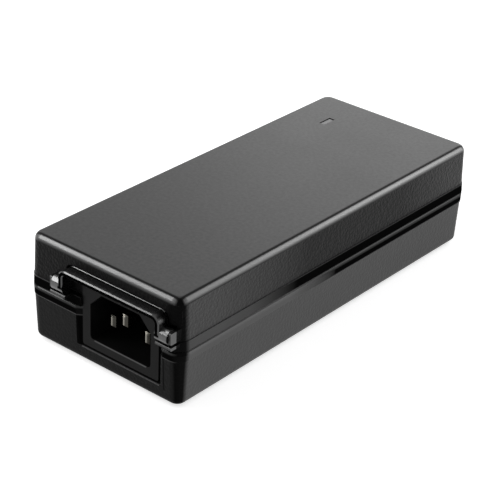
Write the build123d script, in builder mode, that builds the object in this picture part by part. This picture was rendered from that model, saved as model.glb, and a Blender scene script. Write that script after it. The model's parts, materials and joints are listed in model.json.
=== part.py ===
# Single-port PoE injector: a two-shell desktop power supply with a mains inlet and
# cord bail at the -Y end, two network jacks at the +Y end and the supply inside.
# Millimetres. +Z up, long axis along Y. Everything is drawn with the case centred on the
# Z axis and moved at the end, so the origin is under the middle of the whole object.
import os
from build123d import *

os.makedirs("parts", exist_ok=True)

# --- case ---------------------------------------------------------------------
body_length = 148.0
body_width = 62.5
shell_height = 36.5
foot_proud = 0.8            # feet lift the case off the table by this much
seam_height = 19.0          # parting line above the case bottom
wall = 2.0
corner_radius = 4.0         # upright corners
top_draft = 1.8             # degrees, cover narrows upwards
bottom_draft = 2.4          # degrees, tub narrows downwards
top_round = 2.2
bottom_round = 2.0
band_step = 0.2             # smooth band stands this far off the grained walls
band_up = 3.5
band_down = 3.4
seam_chamfer = 0.35
tongue_height = 1.4
tongue_width = 0.7
tongue_clear = 0.15
fit_gap = 0.3               # clearance between curved faces of assembled pieces
cut_margin = 1.0            # cuts start this far outside the face they open

case_z = foot_proud
seam_z = case_z + seam_height
top_z = case_z + shell_height
cover_height = shell_height - seam_height
front_y = -body_length / 2
rear_y = body_length / 2
wall_length = body_length - 2 * band_step
wall_width = body_width - 2 * band_step
inner_width = wall_width - 2 * wall
inner_length = wall_length - 2 * wall
inner_corner = corner_radius - wall / 2
tongue_reach = tongue_width + 2 * tongue_clear
floor_z = case_z + wall
ceiling_z = top_z - wall

# --- mains inlet --------------------------------------------------------------
inlet_side_gap = 24.35      # middle of the inlet to the side of the case
cavity_width = 24.6
cavity_height = 16.5
cavity_depth = 16.5
cavity_chamfer = 4.6
cavity_drop = 0.75          # centre of the plug cavity below the case's middle
bezel_width = 31.0
bezel_height = 22.8
bezel_corner = 0.8
bezel_thickness = 2.4
bezel_back = 0.9            # bezel face behind the seam's front edge
cavity_low_round = 1.2
inlet_body_width = 28.0
inlet_body_wall = 1.95      # body above the plug cavity
inlet_board_gap = 0.5       # body above the circuit board
inlet_body_depth = 19.5
frame_gap = 0.3             # between bezel and case
frame_bevel = 2.0           # spread of the bevelled frame round the bezel
frame_depth = 1.4
frame_angle = 55.0          # degrees the frame's bevel leans from square
pin_blade = 4.0
pin_thickness = 2.0
pin_spacing = 14.0
pin_row_offset = 2.0        # rows sit this far above and below the cavity centre
pin_tip_inset = 3.9         # pin tips behind the bezel face
earth_lead = 2.2            # earth pin reaches this much further forward
tail_section = 1.2
tail_hole = 1.8
pin_tip_chamfer = 0.6

inlet_x = body_width / 2 - inlet_side_gap
cavity_z = case_z + shell_height / 2 - cavity_drop
bezel_y = front_y + bezel_back
inlet_back_y = bezel_y + inlet_body_depth
frame_width = bezel_width + 2 * frame_gap
frame_height = bezel_height + 2 * frame_gap

# --- cord bail ----------------------------------------------------------------
pivot_rise = 7.5            # pivot axis above the middle of the plug cavity
pivot_out = 1.0             # pivot axis in front of the seam's front edge
barrel_radius = 2.45
strap_rise = 6.3            # pivot axis to top of strap
strap_thickness = 1.7
strap_edge = 0.35
bend_radius = 2.8
arm_outer = 20.4            # from the bail's middle
barrel_outer = 23.4
ear_inner = 23.55
ear_outer = 24.5
ear_side_gap = 1.15         # ear to the side of the case
ear_reach = 2.6             # ears and ledges in front of the seam's front edge
ear_below = 1.75            # ear below and above the pivot axis
ear_above = 2.05
ear_edge = 0.25
ledge_inner = 18.35
ledge_thickness = 1.0
ledge_clear = 0.3           # barrel above ledge
trunnion_radius = 0.8
trunnion_clear = 0.06
trunnion_bite = 0.6         # length of trunnion inside the ear
trunnion_end = 0.1
pocket_clear = 0.5          # above and beside the folded bail
pocket_behind = 0.3
pocket_backing = 0.8        # thickening inside the wall behind the pocket

bail_x = body_width / 2 - ear_side_gap - ear_outer
pivot_y = front_y - pivot_out
pivot_z = cavity_z + pivot_rise
arm_inner = arm_outer - strap_thickness
strap_top_z = pivot_z + strap_rise
ledge_top_z = pivot_z - barrel_radius - ledge_clear
bail_front_y = pivot_y - barrel_radius
pocket_depth = barrel_radius - pivot_out + pocket_behind
pocket_top_z = strap_top_z + pocket_clear
pocket_middle_z = pivot_z + barrel_radius + pocket_clear
bracket_depth = ear_reach + wall + pocket_backing / 2
bracket_mid_y = front_y - ear_reach + bracket_depth / 2
ledge_mid = (ear_outer + ledge_inner) / 2
ear_mid = (ear_outer + ear_inner) / 2
shift_y = (front_y - bail_front_y) / 2

# --- status window ------------------------------------------------------------
window_side_gap = 15.65     # window centre to the side of the case
window_rear_gap = 20.0      # window centre to the jack end
window_length = 5.6
window_width = 2.0
window_sink = 0.25
window_clear = 0.1
pipe_drop = 9.0
pipe_flange = 0.9

window_x = window_side_gap - body_width / 2
window_y = rear_y - window_rear_gap

# --- circuit board ------------------------------------------------------------
board_end_gap = 5.5         # board edge to the outside of the case
board_side_gap = 4.25
board_thickness = 1.6
board_lift = 3.2            # boss height above the case floor
boss_radius = 3.0
boss_side_gap = 3.0         # boss centre to the board's edge
boss_end_gap = 20.5
screw_hole_radius = 1.3
screw_shank_radius = 1.0
screw_head_radius = 2.4
board_hole_radius = 1.7
screw_head_height = 1.6
screw_length = 5.0

board_length = body_length - 2 * board_end_gap
board_width = body_width - 2 * board_side_gap
boss_x = board_width / 2 - boss_side_gap
boss_y = board_length / 2 - boss_end_gap
board_under_z = floor_z + board_lift
board_top_z = board_under_z + board_thickness

# --- network jacks ------------------------------------------------------------
jack_side_gap = 14.0        # jack centre to the board's edge
jack_width = 16.0
jack_height = 13.4
jack_depth = 18.0
shield_thickness = 0.3
port_width = 11.9
port_height = 7.2
port_depth = 14.0
latch_width = 6.2
latch_height = 1.7
key_width = 3.4
key_height = 1.3
port_floor = 4.6            # plug floor above the jack's underside
jack_gap = 0.3              # between shield and case
jack_inset = 0.6            # jack face behind the end of the case
contact_count = 8
contact_pitch = 1.02
contact_section = 0.4
contact_back = 3.0
contact_slope = 3.2

jack_front_y = rear_y - jack_inset
jack_back_y = jack_front_y - jack_depth - shield_thickness
jack_z = board_top_z

shield_width = jack_width + 2 * shield_thickness
shield_height = jack_height + shield_thickness
jack_mid_z = jack_z + shield_height / 2
jack_x = board_width / 2 - jack_side_gap

# --- feet ---------------------------------------------------------------------
foot_radius = 5.0
foot_sink = 0.6
foot_edge = 0.3
foot_side_gap = 10.25       # foot centre to the side of the case
foot_end_gap = 12.0

foot_x = body_width / 2 - foot_side_gap
foot_y = body_length / 2 - foot_end_gap

# --- supply parts -------------------------------------------------------------
part_gap = 2.0              # between neighbours on the board
front_row_gap = 11.1        # inlet to the bridge and disc capacitor
rear_row_gap = 13.1         # jacks to the magnetics and controller
fuse_size = (4.0, 8.5, 8.0)
film_cap_size = (6.5, 13.0, 12.0)
choke_x = 4.0
choke_gap = 4.0             # inlet pins to the choke
choke_outer_radius = 8.5
choke_inner_radius = 4.6
choke_height = 8.0
wire_build = 1.4
winding_starts = (30, 210)  # degrees round the choke
winding_arc = 120
bridge_side_gap = 10.0      # bridge centre to the board's edge
bridge_size = (15.0, 3.6, 11.0)
disc_cap_radius = 4.0
disc_cap_thickness = 3.6
bulk_cap_side_gap = 3.0     # can to the board's edge
bulk_cap_y = -20.0
bulk_cap_radius = 9.0
bulk_cap_headroom = 2.7     # can to the cover
cap_edge = 0.8
sink_side_gap = 4.0         # heat sink to the board's edge
sink_thickness = 1.6
sink_height = 20.0
sink_length = 30.0
sink_foot = 3.6
primary_sink_y = -15.0
secondary_sink_y = 18.0
device_size = (4.5, 10.0, 15.0)
device_lift = 4.0
lead_section = 0.8
lead_pitch = 2.54
core_spot = (2.0, 1.0)
core_width = 30.0
core_height = 21.0
core_thickness = 11.0
core_leg = 9.0
core_window_width = 6.5
core_window_height = 13.0
coil_build = 6.0
output_cap_radius = 5.0
output_cap_height = 18.0
output_cap_gap = 4.0        # capacitors to the magnetics
output_cap_x = (0.0, 13.0)
magnetics_gap = 1.1         # magnetics to the screw head
magnetics_space = 3.0       # between the two magnetics
magnetics_size = (13.0, 12.0, 6.0)
controller_size = (7.0, 7.0, 1.0)
led_radius = 1.5
led_height = 4.5
led_edge = 0.6
led_gap = 0.6               # lens below the light pipe
led_jack_gap = 0.5          # LED spacer to the jack
spacer_radius = 1.6

front_row_y = inlet_back_y + front_row_gap
rear_row_y = jack_back_y - rear_row_gap
film_cap_x = inlet_x - inlet_body_width / 2 - part_gap - film_cap_size[0] / 2
film_cap_spot = (film_cap_x, inlet_back_y)
fuse_x = film_cap_x - (film_cap_size[0] + fuse_size[0]) / 2 - part_gap
fuse_spot = (fuse_x, inlet_back_y - fuse_size[1] / 2)
choke_y = inlet_back_y + tail_section + choke_gap + choke_outer_radius + wire_build
bridge_spot = (bridge_side_gap - board_width / 2, front_row_y)
disc_cap_x = choke_x + choke_outer_radius + wire_build + part_gap / 2 + disc_cap_radius
bulk_cap_spot = (bulk_cap_side_gap + bulk_cap_radius - board_width / 2, bulk_cap_y)
bulk_cap_height = ceiling_z - bulk_cap_headroom - board_top_z
output_cap_y = rear_row_y - magnetics_size[1] / 2 - output_cap_gap - output_cap_radius
led_y = jack_back_y - led_jack_gap - spacer_radius
sink_x = board_width / 2 - sink_side_gap
device_x = sink_x - (sink_thickness + device_size[0]) / 2
magnetics_right = boss_x - screw_head_radius - magnetics_gap - magnetics_size[0] / 2
magnetics_x = (magnetics_right - magnetics_size[0] - magnetics_space, magnetics_right)
controller_x = magnetics_x[0] - (magnetics_size[0] + controller_size[0]) / 2 - part_gap
core_mid_z = board_top_z + core_height / 2
led_base_z = top_z - window_sink - pipe_drop - led_gap - led_height

pin_spots = (
    (inlet_x - pin_spacing / 2, cavity_z - pin_row_offset),
    (inlet_x + pin_spacing / 2, cavity_z - pin_row_offset),
    (inlet_x, cavity_z + pin_row_offset),
)
cavity_low = cavity_z - cavity_height / 2
cavity_high = cavity_z + cavity_height / 2
inlet_body_low = board_top_z + inlet_board_gap
inlet_body_high = cavity_high + inlet_body_wall
cavity_left = inlet_x - cavity_width / 2
cavity_right = inlet_x + cavity_width / 2

# --- bottom tub ---------------------------------------------------------------
with BuildPart() as bottom_case:
    with BuildSketch(Plane.XY.offset(seam_z)):
        RectangleRounded(wall_width, wall_length, corner_radius)
    extrude(amount=-seam_height, taper=bottom_draft)
    fillet(bottom_case.faces().sort_by(Axis.Z)[0].edges(), bottom_round)
    # smooth band along the parting line
    with BuildSketch(Plane.XY.offset(seam_z)):
        RectangleRounded(body_width, body_length, corner_radius + band_step)
    extrude(amount=-band_down, taper=bottom_draft)
    chamfer(bottom_case.faces().sort_by(Axis.Z)[-1].edges(), seam_chamfer)
    # hollow
    with BuildSketch(Plane.XY.offset(seam_z)):
        RectangleRounded(inner_width, inner_length, inner_corner)
    extrude(amount=floor_z - seam_z, taper=bottom_draft, mode=Mode.SUBTRACT)
    # tongue that locates the cover
    with BuildSketch(Plane.XY.offset(seam_z - tongue_height)):
        RectangleRounded(inner_width + tongue_width, inner_length + tongue_width, inner_corner)
        RectangleRounded(
            inner_width - tongue_width,
            inner_length - tongue_width,
            inner_corner - tongue_width / 2,
            mode=Mode.SUBTRACT,
        )
    extrude(amount=2 * tongue_height)
    # board bosses with screw holes
    with BuildSketch(Plane.XY.offset(floor_z - wall / 4)):
        with GridLocations(2 * boss_x, 2 * boss_y, 2, 2):
            Circle(boss_radius)
    extrude(amount=board_lift + wall / 4)
    with BuildSketch(Plane.XY.offset(board_under_z)):
        with GridLocations(2 * boss_x, 2 * boss_y, 2, 2):
            Circle(screw_hole_radius)
    extrude(amount=board_thickness - screw_length - fit_gap, mode=Mode.SUBTRACT)
    # inlet opening and its bevelled frame
    with BuildSketch(Plane.XZ.offset(cut_margin - front_y)):
        with Locations((inlet_x, cavity_z)):
            Rectangle(frame_width, frame_height)
    extrude(amount=-3 * wall, mode=Mode.SUBTRACT)
    with BuildSketch(Plane.XZ.offset(-front_y)):
        with Locations((inlet_x, cavity_z)):
            Rectangle(frame_width + 2 * frame_bevel, frame_height + 2 * frame_bevel)
    extrude(amount=-frame_depth, taper=frame_angle, mode=Mode.SUBTRACT)
    # jack openings
    with BuildSketch(Plane.XZ.offset(-cut_margin - rear_y)):
        with Locations((-jack_x, jack_mid_z), (jack_x, jack_mid_z)):
            Rectangle(shield_width + 2 * jack_gap, shield_height + 2 * jack_gap)
    extrude(amount=3 * wall, mode=Mode.SUBTRACT)
    # shallow seats for the feet
    with BuildSketch(Plane.XY.offset(case_z)):
        with GridLocations(2 * foot_x, 2 * foot_y, 2, 2):
            Circle(foot_radius + fit_gap)
    extrude(amount=foot_sink, mode=Mode.SUBTRACT)

# --- cover --------------------------------------------------------------------
with BuildPart() as top_cover:
    with BuildSketch(Plane.XY.offset(seam_z)):
        RectangleRounded(wall_width, wall_length, corner_radius)
    extrude(amount=cover_height, taper=top_draft)
    fillet(top_cover.faces().sort_by(Axis.Z)[-1].edges(), top_round)
    with BuildSketch(Plane.XY.offset(seam_z)):
        RectangleRounded(body_width, body_length, corner_radius + band_step)
    extrude(amount=band_up, taper=top_draft)
    chamfer(top_cover.faces().sort_by(Axis.Z)[0].edges(), seam_chamfer)
    # hollow
    with BuildSketch(Plane.XY.offset(seam_z)):
        RectangleRounded(inner_width, inner_length, inner_corner)
    extrude(amount=ceiling_z - seam_z, taper=top_draft, mode=Mode.SUBTRACT)
    # rebate for the tub's tongue
    with BuildSketch(Plane.XY.offset(seam_z)):
        RectangleRounded(
            inner_width + tongue_reach,
            inner_length + tongue_reach,
            inner_corner + tongue_clear,
        )
    extrude(amount=tongue_height + tongue_clear, mode=Mode.SUBTRACT)
    # thicker wall behind the bail's pocket
    with BuildSketch(Plane.XZ.offset(-front_y - wall)):
        with Locations((bail_x, (pocket_top_z + ledge_top_z) / 2)):
            Rectangle(2 * ear_outer, pocket_top_z - ledge_top_z + 2 * ledge_thickness)
    extrude(amount=-pocket_backing)
    # pocket the bail folds back into
    with BuildSketch(Plane.XZ.offset(cut_margin - front_y)):
        with Locations((bail_x, (pocket_top_z + ledge_top_z - bend_radius) / 2)):
            RectangleRounded(
                2 * (arm_outer + pocket_clear),
                pocket_top_z - ledge_top_z + bend_radius,
                bend_radius,
            )
        with Locations((bail_x, (ledge_top_z + pocket_middle_z) / 2)):
            Rectangle(2 * ear_inner, pocket_middle_z - ledge_top_z)
        with Locations((bail_x, ledge_top_z - bend_radius)):
            Rectangle(2 * ear_outer, 2 * bend_radius, mode=Mode.SUBTRACT)
    extrude(amount=-cut_margin - pocket_depth, mode=Mode.SUBTRACT)
    # ledges under the barrels
    with BuildSketch(Plane.XY.offset(ledge_top_z - ledge_thickness)):
        with Locations((bail_x - ledge_mid, bracket_mid_y), (bail_x + ledge_mid, bracket_mid_y)):
            Rectangle(ear_outer - ledge_inner, bracket_depth)
    extrude(amount=ledge_thickness)
    # ears that carry the bail
    with BuildSketch(Plane.XY.offset(pivot_z - ear_below)):
        with Locations((bail_x - ear_mid, bracket_mid_y), (bail_x + ear_mid, bracket_mid_y)):
            Rectangle(ear_outer - ear_inner, bracket_depth)
    extrude(amount=ear_below + ear_above)
    ear_fronts = top_cover.faces().filter_by(Axis.Y).filter_by_position(
        Axis.Y, front_y - ear_reach - ear_edge, front_y - ear_reach + ear_edge
    )
    chamfer(ear_fronts.edges().filter_by(Axis.X), ear_edge)
    # blind trunnion holes in the ears
    with BuildSketch(Plane.YZ.offset(bail_x - ear_inner - trunnion_bite - trunnion_end)):
        with Locations((pivot_y, pivot_z)):
            Circle(trunnion_radius + trunnion_clear)
    extrude(amount=2 * (ear_inner + trunnion_bite + trunnion_end), mode=Mode.SUBTRACT)
    # inlet opening
    with BuildSketch(Plane.XZ.offset(cut_margin - front_y)):
        with Locations((inlet_x, cavity_z)):
            Rectangle(frame_width, frame_height)
    extrude(amount=-3 * wall, mode=Mode.SUBTRACT)
    # jack openings
    with BuildSketch(Plane.XZ.offset(-cut_margin - rear_y)):
        with Locations((-jack_x, jack_mid_z), (jack_x, jack_mid_z)):
            Rectangle(shield_width + 2 * jack_gap, shield_height + 2 * jack_gap)
    extrude(amount=3 * wall, mode=Mode.SUBTRACT)
    # slot for the status window
    with BuildSketch(Plane.XY.offset(top_z)):
        with Locations((window_x, window_y)):
            Rectangle(window_width + 2 * window_clear, window_length + 2 * window_clear)
    extrude(amount=-2 * wall, mode=Mode.SUBTRACT)

# --- cord bail ----------------------------------------------------------------
with BuildPart() as cord_bail:
    # strap bent down at both ends, seen along Y and cut off at pivot height
    with BuildSketch(Plane.XZ.offset(-pivot_y - barrel_radius)):
        with Locations((bail_x, strap_top_z - strap_rise)):
            RectangleRounded(2 * arm_outer, 2 * strap_rise, bend_radius)
            RectangleRounded(
                2 * arm_inner,
                2 * (strap_rise - strap_thickness),
                bend_radius - strap_thickness,
                mode=Mode.SUBTRACT,
            )
        with Locations((bail_x, pivot_z - strap_rise)):
            Rectangle(2 * ear_outer, 2 * strap_rise, mode=Mode.SUBTRACT)
    extrude(amount=2 * barrel_radius)
    outline = cord_bail.faces().filter_by(Axis.Y).edges()
    chamfer(outline.filter_by_position(Axis.Z, pivot_z + strap_edge, strap_top_z), strap_edge)
    # barrels turned about the pivot axis, one each side
    for side_x in (bail_x - barrel_outer, bail_x + arm_inner):
        with BuildSketch(Plane.YZ.offset(side_x)):
            with Locations((pivot_y, pivot_z)):
                Circle(barrel_radius)
        extrude(amount=barrel_outer - arm_inner)
    # trunnions
    for side_x in (bail_x - ear_inner - trunnion_bite, bail_x + arm_outer):
        with BuildSketch(Plane.YZ.offset(side_x)):
            with Locations((pivot_y, pivot_z)):
                Circle(trunnion_radius)
        extrude(amount=ear_inner + trunnion_bite - arm_outer)

# --- status window ------------------------------------------------------------
with BuildPart() as light_pipe:
    with BuildSketch(Plane.XY.offset(top_z - window_sink)):
        with Locations((window_x, window_y)):
            Rectangle(window_width, window_length)
    extrude(amount=-pipe_drop)
    with BuildSketch(Plane.XY.offset(ceiling_z)):
        with Locations((window_x, window_y)):
            Rectangle(window_width + 2 * pipe_flange, window_length + 2 * pipe_flange)
    extrude(amount=-pipe_flange)

# --- rubber feet --------------------------------------------------------------
with BuildPart() as rubber_feet:
    with BuildSketch(Plane.XY):
        with GridLocations(2 * foot_x, 2 * foot_y, 2, 2):
            Circle(foot_radius)
    extrude(amount=case_z + foot_sink)
    chamfer(rubber_feet.faces().group_by(Axis.Z)[0].edges(), foot_edge)

# --- mains inlet --------------------------------------------------------------
with BuildPart() as inlet_housing:
    with BuildSketch(Plane.XZ.offset(-bezel_y)):
        with Locations((inlet_x, cavity_z)):
            RectangleRounded(bezel_width, bezel_height, bezel_corner)
    extrude(amount=-bezel_thickness)
    with BuildSketch(Plane.XZ.offset(-bezel_y - bezel_thickness)):
        with Locations((inlet_x, (inlet_body_low + inlet_body_high) / 2)):
            Rectangle(inlet_body_width, inlet_body_high - inlet_body_low)
    extrude(amount=bezel_thickness - inlet_body_depth)
    # plug cavity, upper corners cut off and lower corners rounded
    with BuildSketch(Plane.XZ.offset(-bezel_y)) as cavity_face:
        Polygon(
            (cavity_left, cavity_low),
            (cavity_right, cavity_low),
            (cavity_right, cavity_high - cavity_chamfer),
            (cavity_right - cavity_chamfer, cavity_high),
            (cavity_left + cavity_chamfer, cavity_high),
            (cavity_left, cavity_high - cavity_chamfer),
            align=None,
        )
        fillet(cavity_face.vertices().group_by(Axis.Y)[0], cavity_low_round)
    extrude(amount=-cavity_depth, mode=Mode.SUBTRACT)
    # slots the pins pass through
    with BuildSketch(Plane.XZ.offset(-bezel_y - cavity_depth)):
        with Locations(*pin_spots):
            Rectangle(pin_thickness, pin_blade)
    extrude(amount=cavity_depth - inlet_body_depth, mode=Mode.SUBTRACT)

with BuildPart() as inlet_line_pins:
    for spot_x, spot_z in pin_spots[:2]:
        with BuildSketch(Plane.XZ.offset(-bezel_y - pin_tip_inset)):
            with Locations((spot_x, spot_z)):
                Rectangle(pin_thickness, pin_blade)
        extrude(amount=pin_tip_inset - inlet_body_depth)
    chamfer(inlet_line_pins.faces().group_by(Axis.Y)[0].edges(), pin_tip_chamfer)
    for spot_x, spot_z in pin_spots[:2]:
        with BuildSketch(Plane.XY.offset(board_under_z)):
            with Locations((spot_x, inlet_back_y + tail_section / 2)):
                Rectangle(tail_section, tail_section)
        extrude(amount=spot_z + pin_blade / 2 - board_under_z)

with BuildPart() as inlet_earth_pin:
    with BuildSketch(Plane.XZ.offset(earth_lead - bezel_y - pin_tip_inset)):
        with Locations(pin_spots[2]):
            Rectangle(pin_thickness, pin_blade)
    extrude(amount=pin_tip_inset - earth_lead - inlet_body_depth)
    chamfer(inlet_earth_pin.faces().group_by(Axis.Y)[0].edges(), pin_tip_chamfer)
    with BuildSketch(Plane.XY.offset(board_under_z)):
        with Locations((inlet_x, inlet_back_y + tail_section / 2)):
            Rectangle(tail_section, tail_section)
    extrude(amount=pin_spots[2][1] + pin_blade / 2 - board_under_z)

# --- circuit board ------------------------------------------------------------
with BuildPart() as circuit_board:
    with BuildSketch(Plane.XY.offset(board_under_z)):
        Rectangle(board_width, board_length)
        with GridLocations(2 * boss_x, 2 * boss_y, 2, 2):
            Circle(board_hole_radius, mode=Mode.SUBTRACT)
        with Locations((inlet_x, inlet_back_y + tail_section / 2)):
            Rectangle(tail_hole, tail_hole, mode=Mode.SUBTRACT)
            with GridLocations(pin_spacing, 1, 2, 1):
                Rectangle(tail_hole, tail_hole, mode=Mode.SUBTRACT)
    extrude(amount=board_thickness)

with BuildPart() as board_screws:
    with BuildSketch(Plane.XY.offset(board_top_z)):
        with GridLocations(2 * boss_x, 2 * boss_y, 2, 2):
            Circle(screw_head_radius)
    extrude(amount=screw_head_height)
    with BuildSketch(Plane.XY.offset(board_top_z)):
        with GridLocations(2 * boss_x, 2 * boss_y, 2, 2):
            Circle(screw_shank_radius)
    extrude(amount=-screw_length)

# --- network jacks ------------------------------------------------------------
port_z = jack_z + port_floor
notch_z = port_z - latch_height
contact_z = port_z + port_height
contact_row = (contact_count - 1) * contact_pitch
contact_tip_y = jack_front_y - contact_back
contact_root_y = jack_front_y - port_depth
contact_root_z = contact_z - contact_slope
contact_side = (
    (contact_tip_y, contact_z),
    (contact_root_y, contact_root_z),
    (contact_root_y, contact_root_z - contact_section),
    (contact_tip_y + contact_section, contact_z - contact_section),
    (contact_tip_y + contact_section, contact_z),
)

with BuildPart() as data_jack_housing:
    with BuildSketch(Plane.XZ.offset(-jack_front_y)):
        with Locations((-jack_x, jack_z + jack_height / 2)):
            Rectangle(jack_width, jack_height)
    extrude(amount=jack_depth)
    with BuildSketch(Plane.XZ.offset(-jack_front_y)):
        with Locations((-jack_x, port_z + port_height / 2)):
            Rectangle(port_width, port_height)
        with Locations((-jack_x, port_z - latch_height / 2)):
            Rectangle(latch_width, latch_height)
        with Locations((-jack_x, notch_z - key_height / 2)):
            Rectangle(key_width, key_height)
    extrude(amount=port_depth, mode=Mode.SUBTRACT)

with BuildPart() as data_jack_shield:
    with BuildSketch(Plane.XY.offset(jack_z)):
        with Locations((-jack_x, jack_front_y - (jack_depth + shield_thickness) / 2)):
            Rectangle(shield_width, jack_depth + shield_thickness)
    extrude(amount=shield_height)
    with BuildSketch(Plane.XY.offset(jack_z)):
        with Locations((-jack_x, jack_front_y - jack_depth / 2)):
            Rectangle(jack_width, jack_depth)
    extrude(amount=jack_height, mode=Mode.SUBTRACT)

with BuildPart() as data_jack_contacts:
    with BuildSketch(Plane.YZ.offset(-jack_x - contact_row / 2)):
        Polygon(*contact_side, align=None)
    extrude(amount=contact_section / 2, both=True)
    first_contact = data_jack_contacts.part.solids()[0]
    for step in range(1, contact_count):
        add(first_contact.moved(Location((step * contact_pitch, 0, 0))))

with BuildPart() as power_jack_housing:
    with BuildSketch(Plane.XZ.offset(-jack_front_y)):
        with Locations((jack_x, jack_z + jack_height / 2)):
            Rectangle(jack_width, jack_height)
    extrude(amount=jack_depth)
    with BuildSketch(Plane.XZ.offset(-jack_front_y)):
        with Locations((jack_x, port_z + port_height / 2)):
            Rectangle(port_width, port_height)
        with Locations((jack_x, port_z - latch_height / 2)):
            Rectangle(latch_width, latch_height)
        with Locations((jack_x, notch_z - key_height / 2)):
            Rectangle(key_width, key_height)
    extrude(amount=port_depth, mode=Mode.SUBTRACT)

with BuildPart() as power_jack_shield:
    with BuildSketch(Plane.XY.offset(jack_z)):
        with Locations((jack_x, jack_front_y - (jack_depth + shield_thickness) / 2)):
            Rectangle(shield_width, jack_depth + shield_thickness)
    extrude(amount=shield_height)
    with BuildSketch(Plane.XY.offset(jack_z)):
        with Locations((jack_x, jack_front_y - jack_depth / 2)):
            Rectangle(jack_width, jack_depth)
    extrude(amount=jack_height, mode=Mode.SUBTRACT)

with BuildPart() as power_jack_contacts:
    with BuildSketch(Plane.YZ.offset(jack_x - contact_row / 2)):
        Polygon(*contact_side, align=None)
    extrude(amount=contact_section / 2, both=True)
    first_contact = power_jack_contacts.part.solids()[0]
    for step in range(1, contact_count):
        add(first_contact.moved(Location((step * contact_pitch, 0, 0))))

# --- supply parts on the board --------------------------------------------------
with BuildPart() as fuse:
    with BuildSketch(Plane.XY.offset(board_top_z)):
        with Locations(fuse_spot):
            RectangleRounded(fuse_size[0], fuse_size[1], cap_edge)
    extrude(amount=fuse_size[2])

with BuildPart() as film_capacitor:
    with BuildSketch(Plane.XY.offset(board_top_z)):
        with Locations(film_cap_spot):
            Rectangle(film_cap_size[0], film_cap_size[1])
    extrude(amount=film_cap_size[2])
    chamfer(film_capacitor.faces().sort_by(Axis.Z)[-1].edges(), cap_edge / 2)

with BuildPart() as choke_core:
    with BuildSketch(Plane.XY.offset(board_top_z + wire_build)):
        with Locations((choke_x, choke_y)):
            Circle(choke_outer_radius)
            Circle(choke_inner_radius, mode=Mode.SUBTRACT)
    extrude(amount=choke_height)

with BuildPart() as choke_windings:
    choke_axis = Axis((choke_x, choke_y, 0), (0, 0, 1))
    choke_mid_radius = (choke_outer_radius + choke_inner_radius) / 2
    choke_ring = choke_outer_radius - choke_inner_radius
    for turn in winding_starts:
        winding_plane = Plane(
            origin=(choke_x, choke_y, board_top_z + wire_build + choke_height / 2),
            x_dir=Vector(1, 0, 0).rotate(Axis.Z, turn),
            z_dir=Vector(0, -1, 0).rotate(Axis.Z, turn),
        )
        with BuildSketch(winding_plane):
            with Locations((choke_mid_radius, 0)):
                Rectangle(choke_ring + 2 * wire_build, choke_height + 2 * wire_build)
                Rectangle(choke_ring + 2 * fit_gap, choke_height, mode=Mode.SUBTRACT)
        revolve(axis=choke_axis, revolution_arc=winding_arc)

with BuildPart() as bridge_rectifier:
    with BuildSketch(Plane.XY.offset(board_top_z)):
        with Locations(bridge_spot):
            Rectangle(bridge_size[0], bridge_size[1])
    extrude(amount=bridge_size[2])
    chamfer(bridge_rectifier.edges().filter_by(Axis.Y).sort_by(Axis.Z)[-1], 3 * cap_edge)

with BuildPart() as disc_capacitor:
    with BuildSketch(Plane.XZ.offset(disc_cap_thickness / 2 - front_row_y)):
        with Locations((disc_cap_x, board_top_z + device_lift / 2 + disc_cap_radius)):
            Circle(disc_cap_radius)
    extrude(amount=-disc_cap_thickness)
    with BuildSketch(Plane.XY.offset(board_top_z)):
        with Locations((disc_cap_x, front_row_y)):
            with GridLocations(disc_cap_radius, 1, 2, 1):
                Rectangle(lead_section, lead_section)
    extrude(amount=device_lift)

with BuildPart() as bulk_capacitor:
    with BuildSketch(Plane.XY.offset(board_top_z)):
        with Locations(bulk_cap_spot):
            Circle(bulk_cap_radius)
    extrude(amount=bulk_cap_height)
    chamfer(bulk_capacitor.faces().sort_by(Axis.Z)[-1].edges(), cap_edge)

with BuildPart() as primary_heat_sink:
    with BuildSketch(Plane.XY.offset(board_top_z)):
        with Locations((sink_x, primary_sink_y)):
            Rectangle(sink_thickness, sink_length)
    extrude(amount=sink_height)
    with BuildSketch(Plane.XY.offset(board_top_z)):
        with Locations((sink_x + sink_foot / 2, primary_sink_y)):
            Rectangle(sink_foot, sink_length)
    extrude(amount=sink_thickness)

with BuildPart() as secondary_heat_sink:
    with BuildSketch(Plane.XY.offset(board_top_z)):
        with Locations((-sink_x, secondary_sink_y)):
            Rectangle(sink_thickness, sink_length)
    extrude(amount=sink_height)
    with BuildSketch(Plane.XY.offset(board_top_z)):
        with Locations((-sink_x - sink_foot / 2, secondary_sink_y)):
            Rectangle(sink_foot, sink_length)
    extrude(amount=sink_thickness)

with BuildPart() as switching_transistor:
    with BuildSketch(Plane.XY.offset(board_top_z + device_lift)):
        with Locations((device_x, primary_sink_y)):
            Rectangle(device_size[0], device_size[1])
    extrude(amount=device_size[2])
    with BuildSketch(Plane.XY.offset(board_top_z)):
        with Locations((device_x, primary_sink_y)):
            with GridLocations(1, lead_pitch, 1, 3):
                Rectangle(lead_section, lead_section)
    extrude(amount=device_lift)

with BuildPart() as output_rectifier:
    with BuildSketch(Plane.XY.offset(board_top_z + device_lift)):
        with Locations((-device_x, secondary_sink_y)):
            Rectangle(device_size[0], device_size[1])
    extrude(amount=device_size[2])
    with BuildSketch(Plane.XY.offset(board_top_z)):
        with Locations((-device_x, secondary_sink_y)):
            with GridLocations(1, lead_pitch, 1, 3):
                Rectangle(lead_section, lead_section)
    extrude(amount=device_lift)

with BuildPart() as transformer_core:
    with BuildSketch(Plane.XZ.offset(core_thickness / 2 - core_spot[1])):
        with Locations((core_spot[0], core_mid_z)):
            Rectangle(core_width, core_height)
            with GridLocations(core_leg + core_window_width, 1, 2, 1):
                Rectangle(core_window_width, core_window_height, mode=Mode.SUBTRACT)
    extrude(amount=-core_thickness)

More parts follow.
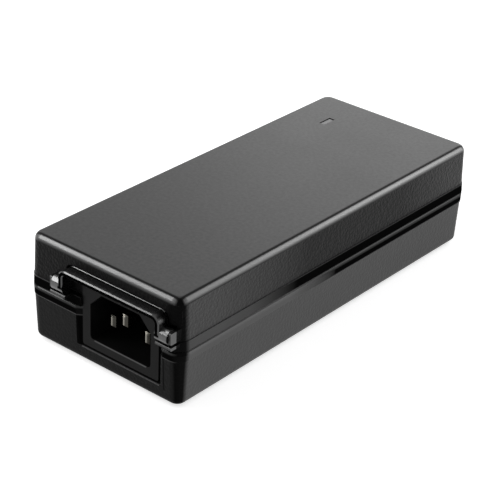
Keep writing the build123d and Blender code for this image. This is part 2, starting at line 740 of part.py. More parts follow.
with BuildPart() as transformer_coil:
    with BuildSketch(Plane.XY.offset(core_mid_z - core_window_height / 2)):
        with Locations(core_spot):
            RectangleRounded(core_leg + 2 * coil_build, core_thickness + 2 * coil_build, coil_build / 2)
            Rectangle(core_leg, core_thickness, mode=Mode.SUBTRACT)
    extrude(amount=core_window_height)

with BuildPart() as output_capacitors:
    with BuildSketch(Plane.XY.offset(board_top_z)):
        with Locations(*[(spot_x, output_cap_y) for spot_x in output_cap_x]):
            Circle(output_cap_radius)
    extrude(amount=output_cap_height)
    chamfer(output_capacitors.faces().group_by(Axis.Z)[-1].edges(), cap_edge)

with BuildPart() as line_magnetics:
    with BuildSketch(Plane.XY.offset(board_top_z)):
        with Locations(*[(spot_x, rear_row_y) for spot_x in magnetics_x]):
            Rectangle(magnetics_size[0], magnetics_size[1])
    extrude(amount=magnetics_size[2])
    chamfer(line_magnetics.faces().group_by(Axis.Z)[-1].edges(), cap_edge / 2)

with BuildPart() as power_controller:
    with BuildSketch(Plane.XY.offset(board_top_z)):
        with Locations((controller_x, rear_row_y)):
            Rectangle(controller_size[0], controller_size[1])
    extrude(amount=controller_size[2])

with BuildPart() as led_spacer:
    with BuildSketch(Plane.XY.offset(board_top_z)):
        with Locations((window_x, led_y)):
            Circle(spacer_radius)
    extrude(amount=led_base_z - board_top_z)

with BuildPart() as status_led:
    with BuildSketch(Plane.XY.offset(led_base_z)):
        with Locations((window_x, led_y)):
            Circle(led_radius)
    extrude(amount=led_height)
    chamfer(status_led.faces().sort_by(Axis.Z)[-1].edges(), led_edge)

# --- hand over ------------------------------------------------------------------
part_list = {
    "bottom_case": bottom_case,
    "top_cover": top_cover,
    "cord_bail": cord_bail,
    "light_pipe": light_pipe,
    "rubber_feet": rubber_feet,
    "inlet_housing": inlet_housing,
    "inlet_line_pins": inlet_line_pins,
    "inlet_earth_pin": inlet_earth_pin,
    "circuit_board": circuit_board,
    "board_screws": board_screws,
    "data_jack_housing": data_jack_housing,
    "data_jack_shield": data_jack_shield,
    "data_jack_contacts": data_jack_contacts,
    "power_jack_housing": power_jack_housing,
    "power_jack_shield": power_jack_shield,
    "power_jack_contacts": power_jack_contacts,
    "fuse": fuse,
    "film_capacitor": film_capacitor,
    "choke_core": choke_core,
    "choke_windings": choke_windings,
    "bridge_rectifier": bridge_rectifier,
    "disc_capacitor": disc_capacitor,
    "bulk_capacitor": bulk_capacitor,
    "primary_heat_sink": primary_heat_sink,
    "secondary_heat_sink": secondary_heat_sink,
    "switching_transistor": switching_transistor,
    "output_rectifier": output_rectifier,
    "transformer_core": transformer_core,
    "transformer_coil": transformer_coil,
    "output_capacitors": output_capacitors,
    "line_magnetics": line_magnetics,
    "power_controller": power_controller,
    "led_spacer": led_spacer,
    "status_led": status_led,
}
for label, built in part_list.items():
    placed = built.part.moved(Location((0, shift_y, 0)))
    placed.label = label
    export_step(placed, f"parts/{label}.step")
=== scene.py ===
import json
import math

import bpy
from mathutils import Matrix, Vector


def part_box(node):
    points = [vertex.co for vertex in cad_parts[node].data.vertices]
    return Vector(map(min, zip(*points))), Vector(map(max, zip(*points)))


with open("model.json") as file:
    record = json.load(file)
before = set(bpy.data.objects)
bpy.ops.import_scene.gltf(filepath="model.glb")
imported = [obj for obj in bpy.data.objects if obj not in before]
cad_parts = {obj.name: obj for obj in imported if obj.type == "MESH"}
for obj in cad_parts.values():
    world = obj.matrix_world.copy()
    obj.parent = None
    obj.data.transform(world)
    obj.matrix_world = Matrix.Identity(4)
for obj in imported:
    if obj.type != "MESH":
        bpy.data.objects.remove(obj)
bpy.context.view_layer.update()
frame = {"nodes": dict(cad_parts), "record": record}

MM = 0.001

# ---------------------------------------------------------------- places
tub_low, tub_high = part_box("bottom_case")
case_low = tub_low.z
front_y = tub_low.y                     # the case's front wall
case_length = tub_high.y - front_y
case_foot = Vector((0, (front_y + tub_high.y) / 2, case_low))
top_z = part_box("top_cover")[1].z
seam_z = case_low + 19.0 * MM           # the parting line between the shells
inlet_low, inlet_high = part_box("inlet_housing")
inlet_x = (inlet_low.x + inlet_high.x) / 2
cavity_low_z = case_low + 9.25 * MM     # the plug cavity's lower edge
bail_low, bail_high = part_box("cord_bail")
bail_x = (bail_low.x + bail_high.x) / 2

# ---------------------------------------------------------------- camera
# fitted to the case's edges in the photo; its place is measured from the case's foot
CAMERA_PLACE = Vector((307.82, -388.48, 284.74)) * MM
CAMERA_AZIMUTH = math.radians(38.75)
CAMERA_ELEVATION = math.radians(28.774)
CAMERA_ROLL = math.radians(2.603)
CAMERA_LENS = 124.08
SENSOR_WIDTH = 36.0

back = Vector((
    math.sin(CAMERA_AZIMUTH) * math.cos(CAMERA_ELEVATION),
    -math.cos(CAMERA_AZIMUTH) * math.cos(CAMERA_ELEVATION),
    math.sin(CAMERA_ELEVATION),
))
level_right = Vector((math.cos(CAMERA_AZIMUTH), math.sin(CAMERA_AZIMUTH), 0))
level_up = back.cross(level_right)
right = level_right * math.cos(CAMERA_ROLL) + level_up * math.sin(CAMERA_ROLL)
up = level_up * math.cos(CAMERA_ROLL) - level_right * math.sin(CAMERA_ROLL)
camera_data = bpy.data.cameras.new("camera")
camera_data.sensor_width = SENSOR_WIDTH
camera_data.lens = CAMERA_LENS
camera_data.clip_start = 0.01
camera = bpy.data.objects.new("camera", camera_data)
bpy.context.scene.collection.objects.link(camera)
camera_turn = Matrix((right, up, back)).transposed().to_4x4()
camera.matrix_world = Matrix.Translation(case_foot + CAMERA_PLACE) @ camera_turn
bpy.context.scene.camera = camera
bpy.context.scene.view_settings.view_transform = "Standard"


# ---------------------------------------------------------------- node helpers
# the colour sockets of a mix node
MIX_FIRST, MIX_SECOND, MIX_RESULT = 6, 7, 2


class Graph:
    """A material's or the world's node tree, built a node at a time."""

    def __init__(self, owner):
        owner.use_nodes = True
        self.owner = owner
        self.nodes = owner.node_tree.nodes
        self.links = owner.node_tree.links
        self.object_place = self.add("ShaderNodeTexCoord").outputs["Object"]

    def add(self, kind, inputs=None, **settings):
        node = self.nodes.new(kind)
        for key, value in settings.items():
            setattr(node, key, value)
        for key, value in (inputs or {}).items():
            self.put(node.inputs[key], value)
        return node

    def put(self, socket, value):
        if isinstance(value, bpy.types.NodeSocket):
            self.links.new(value, socket)
        else:
            socket.default_value = value

    def math(self, operation, *values):
        node = self.add("ShaderNodeMath", operation=operation)
        for socket, value in zip(node.inputs, values):
            self.put(socket, value)
        return node.outputs[0]

    def plus(self, first, second):
        return self.math("ADD", first, second)

    def minus(self, first, second):
        return self.math("SUBTRACT", first, second)

    def times(self, first, *others):
        for other in others:
            first = self.math("MULTIPLY", first, other)
        return first

    def most(self, first, *others):
        for other in others:
            first = self.math("MAXIMUM", first, other)
        return first

    def rest(self, share):
        """What a share leaves of 1."""
        return self.minus(1.0, share)

    def unsigned(self, value):
        return self.math("ABSOLUTE", value)

    def above(self, value, limit):
        return self.math("GREATER_THAN", value, limit)

    def below(self, value, limit):
        return self.math("LESS_THAN", value, limit)

    def within(self, value, low, high):
        return self.times(self.above(value, low), self.below(value, high))

    def near(self, value, middle, reach):
        """1 where value is at middle, falling to 0 where it is off by reach."""
        return self.ramp(self.unsigned(self.minus(value, middle)), 0.0, reach, 1.0, 0.0)

    def ramp(self, value, low, high, out_low=0.0, out_high=1.0):
        node = self.add("ShaderNodeMapRange", {
            "Value": value, "From Min": low, "From Max": high, "To Min": out_low, "To Max": out_high,
        })
        return node.outputs["Result"]

    def noise(self, size_mm, detail=2.0, place=None, rough=0.5):
        node = self.add("ShaderNodeTexNoise", {
            "Vector": place or self.object_place, "Scale": 1 / (size_mm * MM),
            "Detail": detail, "Roughness": rough,
        })
        return node.outputs["Fac"]

    def cells(self, size_mm):
        node = self.add("ShaderNodeTexVoronoi", {"Vector": self.object_place, "Scale": 1 / (size_mm * MM)})
        return node.outputs["Distance"]

    def mix(self, share, first, second):
        node = self.add("ShaderNodeMix", {"Factor": share, "A": first, "B": second})
        return node.outputs["Result"]

    def mix_colour(self, share, first, second):
        node = self.add("ShaderNodeMix", {"Factor": share}, data_type="RGBA")
        self.put(node.inputs[MIX_FIRST], first)
        self.put(node.inputs[MIX_SECOND], second)
        return node.outputs[MIX_RESULT]

    def bump(self, height, depth_mm, normal=None):
        node = self.add("ShaderNodeBump", {"Height": height, "Distance": depth_mm * MM})
        if normal is not None:
            self.put(node.inputs["Normal"], normal)
        return node.outputs["Normal"]

    def axis(self, name):
        node = self.add("ShaderNodeSeparateXYZ", {"Vector": self.object_place})
        return node.outputs[name]

    def facing(self, name):
        place = self.add("ShaderNodeTexCoord")
        node = self.add("ShaderNodeSeparateXYZ", {"Vector": place.outputs["Normal"]})
        return node.outputs[name]

    def stretched(self, x, y, z):
        node = self.add("ShaderNodeMapping", {"Vector": self.object_place, "Scale": (x, y, z)})
        return node.outputs["Vector"]

    def seen(self):
        """1 for rays from the camera, from mirrors and through clear parts."""
        path = self.add("ShaderNodeLightPath").outputs
        return self.most(path["Is Camera Ray"], path["Is Glossy Ray"], path["Is Transmission Ray"])

    def finish(self, **sockets):
        shader = self.nodes["Principled BSDF"]
        for key, value in sockets.items():
            self.put(shader.inputs[key.replace("_", " ")], value)
        return self.owner


def graph(name):
    return Graph(bpy.data.materials.new(name))


def grey(level):
    return (level, level, level, 1.0)


# ---------------------------------------------------------------- the case
# heights from the parting line
BAND_UP = 3.42 * MM                     # the polished band's upper edge
BAND_DOWN = 3.32 * MM                   # and its lower edge
BAND_EDGE = 0.3 * MM                    # reach of the worn line along each
LIP_ROUND = (-1.3 * MM, -0.4 * MM)      # the tub's lip is rounded over between these
LIP_LIGHT = -0.65 * MM                  # and catches light here
LIP_REACH = 0.7 * MM
# distances behind the front wall
BAND_UNSHADED_TUB = (50 * MM, 74 * MM)      # the band's painted dark reflection sets in between these; nearer the front it is left unshaded
BAND_UNSHADED_COVER = (32 * MM, 54 * MM)
CORNER_BACK = (3.0 * MM, 4.8 * MM)      # the painted dark front corner ends between these
KNUCKLE_BACK = (2.6 * MM, 3.2 * MM)     # and here on the rounded edge above it
WALL_DULLS = (15 * MM, 60 * MM)         # the cover's long wall loses its shine here
WALL_CLEARS = (110 * MM, 140 * MM)      # and regains some of it here
PROUD = 0.2 * MM                        # ledges and ears stand out from it by more than this
FRAME_DEPTH = 1.5 * MM                  # the inlet's bevelled frame is no deeper than this
# distances across from the case's middle
CORNER_TUB = (27.9 * MM, 29.8 * MM)     # the painted dark front corner sets in between these
CORNER_COVER = (25.2 * MM, 27.2 * MM)
KNUCKLE = (28.0 * MM, 28.8 * MM)
# distances across from the inlet's middle
FRAME_INSIDE = 15.9 * MM
FRAME_LEFT = (-17.9 * MM, -15.7 * MM)
FRAME_RIGHT = 17.8 * MM
FRAME_RIGHT_REACH = 0.4 * MM
# depths under the inlet's lower edge
FRAME_ROOT = 0.85 * MM
FRAME_LEFT_LOW = 0.9 * MM
FRAME_RIGHT_LOW = 2.0 * MM
FRAME_FOOT = 1.14 * MM
FRAME_FOOT_REACH = 0.35 * MM
# the top: its rounded edge, and the dull line where that edge meets the flat
TOP_ROUND = 2.1 * MM
KNUCKLE_TOP = 0.1 * MM
DULL_INSET = 2.75 * MM
DULL_SETS_IN = (0.0, 0.35 * MM)
DULL_ENDS = (0.85 * MM, 1.25 * MM)


class CaseGraph(Graph):
    """The case's nodes. Its zones are shares from 0 to 1, worked out from places on the object."""

    def __init__(self):
        super().__init__(bpy.data.materials.new("case_plastic"))
        self.across = self.axis("X")
        self.height = self.axis("Z")
        self.behind = self.minus(self.axis("Y"), front_y)
        self.over_seam = self.minus(self.height, seam_z)
        self.side = self.ramp(self.unsigned(self.facing("X")), 0.5, 0.95)
        self.cover = self.above(self.over_seam, 0.0)
        # 1 on the walls, 0 on the top face and its rounded edge
        self.wall = self.below(self.height, top_z - TOP_ROUND)
        # the ledges and ears that stand out from the front
        self.proud = self.below(self.behind, -PROUD)
        self.over_band_foot = self.above(self.over_seam, -BAND_DOWN)
        self.band = self.times(self.below(self.over_seam, BAND_UP), self.over_band_foot)
        self.grained = self.times(self.wall, self.rest(self.most(self.band, self.proud)))
        self.corner = self.front_corner()
        frame_painted_shade, self.frame_light = self.inlet_frame()
        # zones whose colour is painted dark: dark reflection on the band and corner, shade in the frame's
        # gaps
        self.painted_dark = self.most(self.painted_dark_zones(), frame_painted_shade)

    def front_corner(self):
        """The upright front corner, painted dark on both shells as a dark reflection."""
        tub = self.ramp(self.across, *CORNER_TUB)
        cover = self.ramp(self.across, *CORNER_COVER)
        return self.times(self.mix(self.cover, tub, cover), self.ramp(self.behind, *CORNER_BACK, 1.0, 0.0))

    def painted_dark_zones(self):
        """Painted dark reflection: the polished band where it is not left unshaded, the front corner and the
        rounded edge above that corner.
        """
        # painted dark reflection on the band: left off near the front on the long sides, laid on further back
        unshaded_band_tub = self.ramp(self.behind, *BAND_UNSHADED_TUB, 1.0, 0.0)
        unshaded_band_cover = self.ramp(self.behind, *BAND_UNSHADED_COVER, 1.0, 0.0)
        unshaded_band = self.mix(self.cover, unshaded_band_tub, unshaded_band_cover)
        band = self.times(self.band, self.rest(self.times(unshaded_band, self.side)))
        walls = self.times(self.wall, self.most(band, self.corner))
        knuckle = self.times(
            self.ramp(self.across, *KNUCKLE),
            self.ramp(self.behind, *KNUCKLE_BACK, 1.0, 0.0),
            self.below(self.height, top_z - KNUCKLE_TOP),
        )
        return self.times(self.most(walls, knuckle), self.rest(self.proud))

    def inlet_frame(self):
        """The bevelled frame round the inlet: painted shade on its root and sides, and a foot that catches
        light.
        """
        off_inlet = self.minus(self.across, inlet_x)
        over_inlet = self.minus(self.height, inlet_low.z)
        front = self.times(self.below(self.behind, FRAME_DEPTH), self.below(self.over_seam, -BAND_DOWN))
        under = self.below(self.unsigned(off_inlet), FRAME_INSIDE)
        root = self.times(under, self.within(over_inlet, -FRAME_ROOT, 0.0))
        left = self.times(self.within(off_inlet, *FRAME_LEFT), self.above(over_inlet, -FRAME_LEFT_LOW))
        right = self.near(off_inlet, FRAME_RIGHT, FRAME_RIGHT_REACH)
        right = self.times(right, self.above(over_inlet, -FRAME_RIGHT_LOW))
        foot = self.times(under, self.near(over_inlet, -FRAME_FOOT, FRAME_FOOT_REACH))
        return self.times(front, self.most(root, left, right)), self.times(front, foot)

    def dull_line(self):
        """The line where the top's rounded edge meets the flat."""
        past_side = self.minus(self.unsigned(self.across), tub_high.x - DULL_INSET)
        off_middle = self.unsigned(self.minus(self.behind, case_length / 2))
        past_end = self.minus(off_middle, case_length / 2 - DULL_INSET)
        past = self.most(past_side, past_end)
        return self.times(self.ramp(past, *DULL_SETS_IN), self.ramp(past, *DULL_ENDS, 1.0, 0.0))

    def edge_shine(self):
        """The worn edges of the band, the lip of the parting line and the foot of the frame."""
        edges = self.most(
            self.near(self.over_seam, BAND_UP, BAND_EDGE),
            self.near(self.over_seam, -BAND_DOWN, BAND_EDGE),
            self.near(self.over_seam, LIP_LIGHT, LIP_REACH),
        )
        edges = self.times(edges, self.mix(self.side, 0.4, 0.14), self.rest(self.corner))
        return self.most(edges, self.times(self.frame_light, 0.4))

    def relief(self):
        """Leather-fine erosion on the walls, pits between rounded islands, deeper on the cover."""
        grain = self.plus(self.times(self.cells(1.0), 0.75), self.times(self.noise(0.5, 3.0, rough=0.6), 0.5))
        deep = self.times(self.grained, self.ramp(self.cover, 0.0, 1.0, 0.4, 1.0))
        normal = self.bump(self.times(grain, deep), 0.2)
        normal = self.bump(self.times(self.noise(0.16, 2.0), self.rest(self.wall)), 0.006, normal=normal)
        lip = self.times(self.ramp(self.over_seam, *LIP_ROUND, 1.0, 0.0), self.over_band_foot)
        return self.bump(lip, 0.5, normal=normal)

    def shine(self):
        """Long walls shine more than the ends, the top has a fine mottle and a polished edge."""
        front_half = self.ramp(self.behind, *WALL_DULLS, 0.42, 0.10)
        cover = self.plus(front_half, self.ramp(self.behind, *WALL_CLEARS, 0.0, 0.12))
        tub = self.ramp(self.behind, 0.0, case_length, 0.62, 0.42)
        walls = self.mix(self.side, 0.06, self.mix(self.cover, tub, cover))
        mottle = self.ramp(self.noise(1.1, 3.0), 0.3, 0.7, 0.35, 0.48)
        top = self.mix(self.ramp(self.facing("Z"), 0.9, 0.97), 1.0, mottle)
        top = self.times(top, self.ramp(self.facing("Z"), 0.12, 0.45, 0.12, 1.0))
        top = self.mix(self.dull_line(), top, 0.08)
        shine = self.mix(self.wall, top, walls)
        shine = self.mix(self.painted_dark, shine, self.times(self.corner, 0.02))
        return self.most(shine, self.edge_shine(), self.times(self.proud, self.mix(self.side, 0.4, 1.0)))


def case_plastic():
    """Black ABS: eroded walls, a satin top and a polished band along the parting line, with painted shade on
    the band, the front corner and the inlet's frame.
    """
    g = CaseGraph()
    patches = g.ramp(g.noise(22.0, 2.0), 0.3, 0.7)
    dust = g.ramp(g.noise(0.9, 4.0, rough=0.7), 0.68, 0.8)
    base = g.mix_colour(patches, grey(0.0045), grey(0.006))
    base = g.mix_colour(g.times(dust, 0.03), base, grey(0.2))
    # painted shade: the base goes near-black in the painted-dark zones
    base = g.mix_colour(g.times(g.painted_dark, 0.4), base, grey(0.001))
    rough = g.ramp(patches, 0.0, 1.0, 0.30, 0.34)
    rough = g.plus(rough, g.times(g.grained, 0.14))
    rough = g.minus(rough, g.times(g.painted_dark, 0.12))
    return g.finish(Base_Color=base, Roughness=rough, Normal=g.relief(), IOR=1.5,
                    Specular_IOR_Level=g.shine())


# ---------------------------------------------------------------- the other materials
def moulded(name, dark, light, rough, pebble_mm, depth_mm, tint=(1.0, 1.0, 1.0)):
    """A moulded plastic or rubber with slow colour drift, fine pebbling and slightly uneven gloss."""
    g = graph(name)
    drift = g.ramp(g.noise(6.0, 3.0), 0.3, 0.7)
    colours = [tuple(level * c for c in tint) + (1.0,) for level in (dark, light)]
    pebbles = g.plus(g.noise(pebble_mm, 3.0), g.times(g.cells(2 * pebble_mm), 0.4))
    gloss = g.ramp(g.noise(2.5, 3.0), 0.3, 0.7, rough - 0.04, rough + 0.05)
    return g.finish(Base_Color=g.mix_colour(drift, *colours), Roughness=gloss,
                    Normal=g.bump(pebbles, depth_mm), IOR=1.5)


MOUTH_LIP = 0.3 * MM                    # the polished edge's middle, under the cavity
MOUTH_LIP_REACH = 0.35 * MM
MOUTH_HALF = 10.6 * MM                  # half the cavity's width between its chamfers
INLET_SKIN = 0.5 * MM                   # the inlet's front face is no deeper than this


def inlet_plastic():
    """Satin moulding with a light, polished edge under the plug cavity."""
    g = graph("inlet_plastic")
    front = g.below(g.axis("Y"), inlet_low.y + INLET_SKIN)
    under = g.below(g.unsigned(g.minus(g.axis("X"), inlet_x)), MOUTH_HALF)
    edge = g.times(front, g.near(g.axis("Z"), cavity_low_z - MOUTH_LIP, MOUTH_LIP_REACH), under)
    base = g.mix_colour(g.ramp(g.noise(6.0, 3.0), 0.3, 0.7), grey(0.004), grey(0.006))
    pebbles = g.plus(g.noise(0.2, 3.0), g.times(g.cells(0.4), 0.4))
    gloss = g.ramp(g.noise(2.5, 3.0), 0.3, 0.7, 0.32, 0.41)
    return g.finish(Base_Color=base, Roughness=gloss, Normal=g.bump(pebbles, 0.005), IOR=1.5,
                    Specular_IOR_Level=g.ramp(edge, 0.0, 1.0, 0.07, 0.75))


RIM_BACK = 0.95 * MM                    # the strap's raised rim, behind the case's front wall
RIM_HALF = 0.35 * MM
BARREL_FROM = 20.5 * MM                 # the bail's barrels, out from its middle


def bail_plastic():
    """Polished moulding with a raised rim along the strap's rear edge, flow lines and scuffs."""
    g = graph("bail_plastic")
    scuffs = g.noise(0.12, 2.0, place=g.stretched(0.12, 1.0, 1.0))
    wear = g.ramp(scuffs, 0.62, 0.75)
    base = g.mix_colour(g.times(wear, 0.08), grey(0.002), grey(0.02))
    rough = g.plus(g.ramp(g.noise(3.0, 3.0), 0.3, 0.7, 0.2, 0.26), g.times(wear, 0.1))
    rim = g.times(g.near(g.axis("Y"), front_y + RIM_BACK, RIM_HALF), g.ramp(g.facing("Z"), 0.8, 0.9))
    normal = g.bump(rim, 0.35, normal=g.bump(scuffs, 0.002))
    # the strap's front and rear faces are dull between its rim and its barrels
    face = g.ramp(g.unsigned(g.facing("Y")), 0.97, 0.995)
    barrel = g.above(g.unsigned(g.minus(g.axis("X"), bail_x)), BARREL_FROM)
    shine = g.most(g.ramp(face, 0.0, 1.0, 0.75, 0.0), barrel, rim)
    return g.finish(Base_Color=base, Roughness=rough, Normal=normal, IOR=1.5, Specular_IOR_Level=shine)


def window_plastic():
    """Smoked clear light pipe, frosted a little on its face."""
    g = graph("window_plastic")
    frost = g.noise(0.1, 2.0)
    base = g.mix_colour(g.noise(1.5, 2.0), (0.05, 0.05, 0.052, 1), (0.075, 0.075, 0.078, 1))
    return g.finish(
        Base_Color=base, Roughness=g.ramp(frost, 0.3, 0.7, 0.12, 0.24), Normal=g.bump(frost, 0.002), IOR=1.49,
    )


def metal(name, colour, rough, along, tarnish=0.25):
    """Drawn or plated metal: fine lines along one axis and patchy tarnish."""
    g = graph(name)
    scale = tuple(0.04 if axis == along else 1.0 for axis in "xyz")
    lines = g.noise(0.09, 3.0, place=g.stretched(*scale))
    patches = g.ramp(g.noise(1.8, 4.0, rough=0.65), 0.45, 0.7)
    dull = tuple(c * 0.55 for c in colour) + (1.0,)
    base = g.mix_colour(g.times(patches, tarnish), tuple(colour) + (1.0,), dull)
    gloss = g.ramp(lines, 0.3, 0.7, rough - 0.06, rough + 0.06)
    gloss = g.plus(gloss, g.times(patches, 0.12))
    return g.finish(Base_Color=base, Roughness=gloss, Metallic=1.0, Normal=g.bump(lines, 0.003))


BLADE_HALF = 3.5 * MM                   # the three blades stand 7 mm apart across the cavity
FLANK = 0.3 * MM                        # the painted shade on a blade's flank fades out within this of its middle


def pin_plating():
    """Nickel-plated blades, with painted shade on their tops and on one flank of the tips."""
    g = graph("pin_brass")
    lines = g.noise(0.09, 3.0, place=g.stretched(1.0, 0.04, 1.0))
    patches = g.ramp(g.noise(1.8, 4.0, rough=0.65), 0.45, 0.7)
    off_blade = g.math("WRAP", g.minus(g.axis("X"), inlet_x), BLADE_HALF, -BLADE_HALF)
    # painted shade: the blade's colour darkens on one flank and on its upward faces
    unshaded_blade = g.ramp(off_blade, -FLANK, FLANK, 1.0, 0.12)
    unshaded_blade = g.times(unshaded_blade, g.ramp(g.facing("Z"), 0.3, 0.8, 1.0, 0.2))
    base = g.mix_colour(unshaded_blade, (0.008, 0.008, 0.007, 1), (0.30, 0.285, 0.25, 1))
    base = g.mix_colour(g.times(patches, 0.2), base, (0.1, 0.09, 0.07, 1))
    gloss = g.plus(g.ramp(lines, 0.3, 0.7, 0.18, 0.30), g.times(patches, 0.12))
    return g.finish(Base_Color=base, Roughness=gloss, Metallic=1.0, Normal=g.bump(lines, 0.003))


def board_laminate():
    """Green solder mask over the weave of the glass, with a bare edge."""
    g = graph("board_laminate")
    edge = g.below(g.unsigned(g.facing("Z")), 0.5)
    warp = g.noise(0.5, 1.0, place=g.stretched(0.15, 1, 1))
    weft = g.noise(0.5, 1.0, place=g.stretched(1, 0.15, 1))
    weave = g.plus(warp, weft)
    tracks = g.ramp(g.noise(3.0, 0.0, place=g.stretched(0.4, 1, 1)), 0.49, 0.51)
    mask = g.mix_colour(g.times(tracks, 0.5), (0.012, 0.07, 0.03, 1), (0.03, 0.14, 0.06, 1))
    base = g.mix_colour(edge, mask, (0.3, 0.26, 0.12, 1))
    return g.finish(Base_Color=base, Roughness=g.ramp(weave, 0.7, 1.3, 0.3, 0.42), Normal=g.bump(weave, 0.01))


def ferrite():
    """Sintered core: fine grit with small chips."""
    g = graph("ferrite")
    grit = g.noise(0.2, 5.0, rough=0.7)
    chips = g.ramp(g.cells(1.4), 0.08, 0.16)
    base = g.mix_colour(g.ramp(grit, 0.35, 0.65), grey(0.035), grey(0.075))
    return g.finish(Base_Color=base, Roughness=g.ramp(grit, 0.3, 0.7, 0.55, 0.75),
                    Normal=g.bump(g.plus(grit, g.times(chips, 0.3)), 0.03))


STRANDS = 90.0                          # turns of wire round the choke's ring


def copper_wire():
    """Enamelled turns laid side by side round the choke's ring."""
    g = graph("copper_wire")
    low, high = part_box("choke_windings")
    middle = (low + high) / 2
    turn = g.math("ARCTAN2", g.minus(g.axis("Y"), middle.y), g.minus(g.axis("X"), middle.x))
    strands = g.math("SINE", g.times(turn, STRANDS))
    # painted shade: each turn's colour is darker in the grooves between turns and lighter on its crest, in
    # step with the bump
    base = g.mix_colour(g.ramp(strands, -1, 1), (0.16, 0.045, 0.015, 1), (0.5, 0.17, 0.06, 1))
    return g.finish(Base_Color=base, Roughness=g.ramp(g.noise(0.5, 3.0), 0.3, 0.7, 0.22, 0.34),
                    Metallic=0.6, Normal=g.bump(strands, 0.12))


TAPE_LAP = 2.2 * MM                     # height of one lap of tape


def coil_tape():
    """Layered polyester tape with its lap line and slight creases."""
    g = graph("coil_tape")
    creases = g.noise(0.7, 3.0, place=g.stretched(1, 1, 4))
    layers = g.math("SINE", g.times(g.axis("Z"), 2 * math.pi / TAPE_LAP))
    base = g.mix_colour(g.ramp(creases, 0.3, 0.7), (0.5, 0.33, 0.04, 1), (0.66, 0.46, 0.07, 1))
    height = g.plus(creases, g.times(layers, 0.15))
    return g.finish(Base_Color=base, Roughness=g.ramp(creases, 0.3, 0.7, 0.18, 0.3),
                    Normal=g.bump(height, 0.05))


def can_aluminium():
    """Sleeved aluminium can: a dark shrunk sleeve round the side, bare metal on its end."""
    g = graph("can_aluminium")
    end = g.ramp(g.facing("Z"), 0.75, 0.85)
    ripple = g.noise(1.2, 3.0, place=g.stretched(1, 1, 0.3))
    sleeve = g.mix_colour(ripple, (0.012, 0.014, 0.03, 1), (0.02, 0.022, 0.05, 1))
    base = g.mix_colour(end, sleeve, (0.62, 0.62, 0.63, 1))
    return g.finish(Base_Color=base, Metallic=end, Roughness=g.ramp(ripple, 0.3, 0.7, 0.24, 0.36),
                    Normal=g.bump(ripple, 0.03))


MOULDINGS = {
    "rubber": dict(dark=0.012, light=0.02, rough=0.75, pebble_mm=0.25, depth_mm=0.02),
    "jack_plastic": dict(dark=0.009, light=0.013, rough=0.3, pebble_mm=0.3, depth_mm=0.004),
    "component_plastic": dict(dark=0.01, light=0.016, rough=0.55, pebble_mm=0.15, depth_mm=0.006),
    "film_plastic": dict(
        dark=0.75, light=0.85, rough=0.3, pebble_mm=0.4, depth_mm=0.003, tint=(0.55, 0.42, 0.06)),
    "ceramic_blue": dict(
        dark=0.8, light=1.0, rough=0.25, pebble_mm=0.6, depth_mm=0.02, tint=(0.04, 0.12, 0.36)),
    "led_resin": dict(
        dark=0.85, light=1.0, rough=0.2, pebble_mm=0.5, depth_mm=0.003, tint=(0.7, 0.78, 0.66)),
}
METALS = {
    "screw_steel": dict(colour=(0.6, 0.6, 0.62), rough=0.3, along="z"),
    "shield_steel": dict(colour=(0.7, 0.7, 0.71), rough=0.28, along="y"),
    "contact_gold": dict(colour=(0.9, 0.64, 0.24), rough=0.2, along="y", tarnish=0.1),
    "sink_aluminium": dict(colour=(0.74, 0.74, 0.76), rough=0.36, along="y"),
}
materials = {
    "case_plastic": case_plastic(),
    "inlet_plastic": inlet_plastic(),
    "bail_plastic": bail_plastic(),
    "window_plastic": window_plastic(),
    "pin_brass": pin_plating(),
    "board_laminate": board_laminate(),
    "ferrite": ferrite(),
    "copper_wire": copper_wire(),
    "coil_tape": coil_tape(),
    "can_aluminium": can_aluminium(),
}
for slot, look in MOULDINGS.items():
    materials[slot] = moulded(slot, **look)
for slot, look in METALS.items():
    materials[slot] = metal(slot, **look)
for part in frame["record"]["subparts"]:
    mesh = frame["nodes"][part["node"]].data
    mesh.materials.clear()
    mesh.materials.append(materials[part["material_slot"]])


# ---------------------------------------------------------------- floor, backdrop and world
FLOOR_GLOW = 0.65
FLOOR_HALF = 4.0
AMBIENT = 0.35
WHITE = grey(1.0)


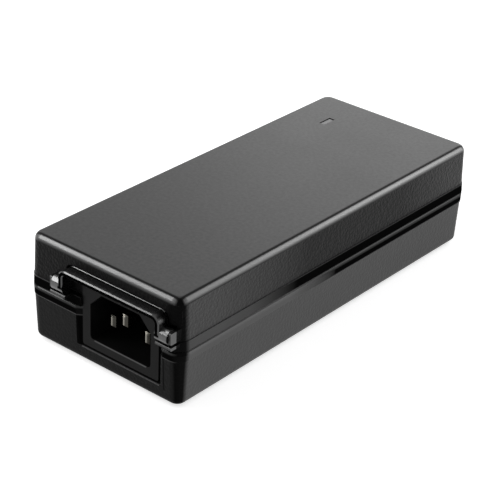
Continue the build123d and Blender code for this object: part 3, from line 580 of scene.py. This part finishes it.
def white_floor(name):
    """A pale matte surface that glows only where it is seen, so the object's shadow stays."""
    g = graph(name)
    mottle = g.ramp(g.noise(40.0, 3.0), 0.3, 0.7)
    base = g.mix_colour(mottle, grey(0.80), grey(0.82))
    g.finish(Base_Color=base, Roughness=0.9, Specular_IOR_Level=0.0)
    glow = g.add("ShaderNodeEmission", {"Color": WHITE, "Strength": g.times(g.seen(), FLOOR_GLOW)})
    both = g.add("ShaderNodeAddShader")
    g.put(both.inputs[0], g.nodes["Principled BSDF"].outputs[0])
    g.put(both.inputs[1], glow.outputs[0])
    g.put(g.nodes["Material Output"].inputs["Surface"], both.outputs[0])
    return g.owner


floor_corners = [(x * FLOOR_HALF, y * FLOOR_HALF, 0) for x, y in ((-1, -1), (1, -1), (1, 1), (-1, 1))]
floor_mesh = bpy.data.meshes.new("floor")
floor_mesh.from_pydata(floor_corners, [], [(0, 1, 2, 3)])
floor_mesh.materials.append(white_floor("floor_white"))
floor = bpy.data.objects.new("floor", floor_mesh)
bpy.context.scene.collection.objects.link(floor)

# the world is white where it is seen, and lights the object with less
world = bpy.data.worlds.new("world")
bpy.context.scene.world = world
sky = Graph(world)
background = sky.nodes["Background"].inputs
sky.put(background["Color"], WHITE)
sky.put(background["Strength"], sky.ramp(sky.seen(), 0.0, 1.0, AMBIENT, 1.0))


# ---------------------------------------------------------------- lamps
LIT_POINT = Vector((0, 0, 0.03))


def strip(name, start, end, width, power):
    """An oblong area lamp whose long middle line runs from start to end, facing the object."""
    start, end = Vector(start), Vector(end)
    middle = (start + end) / 2
    outward = (middle - LIT_POINT).normalized()
    along = (end - start).normalized()
    along = (along - along.dot(outward) * outward).normalized()
    data = bpy.data.lights.new(name, "AREA")
    data.shape = "RECTANGLE"
    data.size = (end - start).length
    data.size_y = width
    data.energy = power
    lamp = bpy.data.objects.new(name, data)
    across = outward.cross(along)
    turn = Matrix((along, across, outward)).transposed().to_4x4()
    lamp.matrix_world = Matrix.Translation(middle) @ turn
    bpy.context.scene.collection.objects.link(lamp)


# places and widths in metres, power in watts
# broad and low behind the far left, mirrored by the top face
strip("back_left", (-0.90, 1.15, 0.45), (-0.20, 1.15, 0.45), 0.5, 1.3)
# the key: leans over the far right, where the long top edge mirrors it from end to end
strip("key", (0.05, 0.90, 0.92), (0.82, 0.90, 0.40), 0.32, 5.0)
# stands low at the far right, a weak fill for the lower half of that edge
strip("low_right", (0.35, 1.15, 0.22), (1.25, 0.55, 0.22), 0.38, 1.7)
# leans over the near left, for the top edge and the bail over the inlet
strip("front_left", (-0.60, -0.12, 0.90), (-0.60, -0.80, 0.32), 0.12, 4.6)
